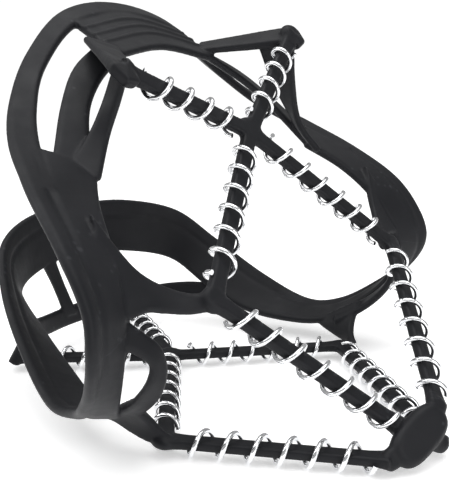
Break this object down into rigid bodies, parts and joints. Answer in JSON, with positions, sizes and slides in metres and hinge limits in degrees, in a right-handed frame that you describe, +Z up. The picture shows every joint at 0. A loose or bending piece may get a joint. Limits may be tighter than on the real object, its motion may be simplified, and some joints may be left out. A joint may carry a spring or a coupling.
{
  "type": "shoe ice cleats",
  "caption": "Pull-on shoe ice cleat: a black elastomer net and rim with bright steel traction coils threaded on the net's straps, lying relaxed and curled.",
  "frame": {"origin": "on the ground, under the middle of the cleat's bounding box", "axes": "+X towards the toe, +Z up, +Y to the left of a foot that points along +X"},
  "size_m": [0.1427, 0.1464, 0.1125],
  "materials": {
    "elastomer": "satin",
    "coil_steel": "bright polished wire"
  },
  "bodies": {
    "heel": {"heel_lower_far": "elastomer", "heel_lower_middle": "elastomer", "heel_lower_near": "elastomer", "heel_upper_far": "elastomer", "heel_upper_middle": "elastomer", "heel_upper_near": "elastomer", "hub": "elastomer", "inner_fold_far": "elastomer", "inner_fold_near": "elastomer", "pad_rear": "elastomer", "rim_fold_far": "elastomer", "rim_fold_near": "elastomer", "rim_heel_far": "elastomer", "rim_heel_near": "elastomer", "sleeve_heel_far": "elastomer", "sleeve_heel_near": "elastomer", "strap_hub_side_far": "elastomer", "strap_hub_side_near": "elastomer", "strap_rear_heel_far": "elastomer", "strap_rear_heel_near": "elastomer", "strap_side_rear_far": "elastomer", "strap_side_rear_near": "elastomer", "tab_side_far": "elastomer", "tab_side_near": "elastomer", "web_heel_far": "elastomer", "web_heel_near": "elastomer"},
    "forefoot": {"pad_front": "elastomer", "rim_ball_far": "elastomer", "rim_ball_near": "elastomer", "rim_toe_far": "elastomer", "rim_toe_near": "elastomer", "side_toe_far": "elastomer", "side_toe_near": "elastomer", "sleeve_toe_far": "elastomer", "sleeve_toe_near": "elastomer", "strap_ball_front_far": "elastomer", "strap_ball_front_near": "elastomer", "strap_front_toe_far": "elastomer", "strap_front_toe_near": "elastomer", "strap_hub_ball_far": "elastomer", "strap_hub_ball_near": "elastomer", "tab_ball_far": "elastomer", "tab_ball_near": "elastomer", "toe_panel": "elastomer", "web_toe_far": "elastomer", "web_toe_near": "elastomer"},
    "coil_ball_front_far": {"coil_ball_front_far": "coil_steel"},
    "coil_ball_front_near": {"coil_ball_front_near": "coil_steel"},
    "coil_front_toe_far": {"coil_front_toe_far": "coil_steel"},
    "coil_front_toe_near": {"coil_front_toe_near": "coil_steel"},
    "coil_hub_ball_far": {"coil_hub_ball_far": "coil_steel"},
    "coil_hub_ball_near": {"coil_hub_ball_near": "coil_steel"},
    "coil_hub_side_far": {"coil_hub_side_far": "coil_steel"},
    "coil_hub_side_near": {"coil_hub_side_near": "coil_steel"},
    "coil_rear_heel_far": {"coil_rear_heel_far": "coil_steel"},
    "coil_rear_heel_near": {"coil_rear_heel_near": "coil_steel"},
    "coil_side_rear_far": {"coil_side_rear_far": "coil_steel"},
    "coil_side_rear_near": {"coil_side_rear_near": "coil_steel"}
  },
  "joints": [
    {"name": "midfoot_flex", "type": "hinge", "parent": "heel", "child": "forefoot", "pos_m": [0.0631, 0, 0.00975], "axis": [0, 1, 0], "range_deg": [-10, 25], "stiffness_Nm_per_rad": 0.8, "springref_deg": 1.03, "deforming": ["rim_fold_near", "rim_fold_far", "inner_fold_near", "inner_fold_far"]},
    {"name": "coil_hub_side_near_turn", "type": "hinge", "parent": "heel", "child": "coil_hub_side_near", "pos_m": [0.0411, -0.02943, 0.00375], "axis": [-0.8706, -0.4921, 0], "continuous": true},
    {"name": "coil_hub_side_far_turn", "type": "hinge", "parent": "heel", "child": "coil_hub_side_far", "pos_m": [0.04101, 0.01921, 0.00375], "axis": [-0.7873, 0.6165, 0], "continuous": true},
    {"name": "coil_side_rear_near_turn", "type": "hinge", "parent": "heel", "child": "coil_side_rear_near", "pos_m": [-0.00223, -0.02268, 0.00375], "axis": [-0.6892, 0.7246, 0], "continuous": true},
    {"name": "coil_side_rear_far_turn", "type": "hinge", "parent": "heel", "child": "coil_side_rear_far", "pos_m": [-0.00323, 0.01894, 0.00375], "axis": [-0.6655, -0.7464, 0], "continuous": true},
    {"name": "coil_rear_heel_near_turn", "type": "hinge", "parent": "heel", "child": "coil_rear_heel_near", "pos_m": [-0.03975, -0.01836, 0.00375], "axis": [-0.7372, -0.6757, 0], "continuous": true},
    {"name": "coil_rear_heel_far_turn", "type": "hinge", "parent": "heel", "child": "coil_rear_heel_far", "pos_m": [-0.04372, 0.00961, 0.00375], "axis": [-0.8829, 0.4696, 0], "continuous": true},
    {"name": "coil_hub_ball_near_turn", "type": "hinge", "parent": "forefoot", "child": "coil_hub_ball_near", "pos_m": [0.04578, -0.02312, 0.02357], "axis": [-0.5924, -0.5461, 0.5924], "continuous": true},
    {"name": "coil_hub_ball_far_turn", "type": "hinge", "parent": "forefoot", "child": "coil_hub_ball_far", "pos_m": [0.04927, 0.01948, 0.02522], "axis": [-0.5794, 0.6704, 0.4635], "continuous": true},
    {"name": "coil_ball_front_near_turn", "type": "hinge", "parent": "forefoot", "child": "coil_ball_front_near", "pos_m": [0.01844, -0.01868, 0.05735], "axis": [-0.377, 0.7014, 0.6049], "continuous": true},
    {"name": "coil_ball_front_far_turn", "type": "hinge", "parent": "forefoot", "child": "coil_ball_front_far", "pos_m": [0.01945, 0.02117, 0.0571], "axis": [-0.4092, -0.6791, 0.6094], "continuous": true},
    {"name": "coil_front_toe_near_turn", "type": "hinge", "parent": "forefoot", "child": "coil_front_toe_near", "pos_m": [0.00487, -0.01857, 0.08268], "axis": [-0.1253, -0.9227, 0.3645], "continuous": true},
    {"name": "coil_front_toe_far_turn", "type": "hinge", "parent": "forefoot", "child": "coil_front_toe_far", "pos_m": [0.00215, 0.01835, 0.08813], "axis": [-0.2456, 0.7591, 0.6028], "continuous": true}
  ]
}
